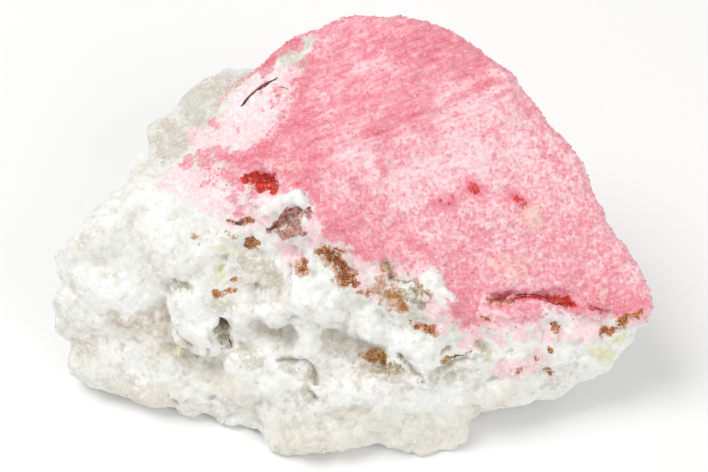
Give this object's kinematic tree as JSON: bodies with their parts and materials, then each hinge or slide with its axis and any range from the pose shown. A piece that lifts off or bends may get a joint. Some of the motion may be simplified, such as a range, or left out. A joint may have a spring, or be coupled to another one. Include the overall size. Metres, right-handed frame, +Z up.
{
  "type": "thulite specimen",
  "caption": "Hand specimen of rose pink thulite on milky quartz, a rough broken stone that stands on its level underside.",
  "frame": {"origin": "on the level underside, under the stone's middle", "axes": "+X along the length, to the pink tip; +Y to the back; +Z up"},
  "size_m": [0.0458, 0.0285, 0.0239],
  "materials": {
    "thulite": "granular, half dull, with small sparkling grains"
  },
  "bodies": {
    "root": {"thulite_specimen": "thulite"}
  },
  "joints": []
}
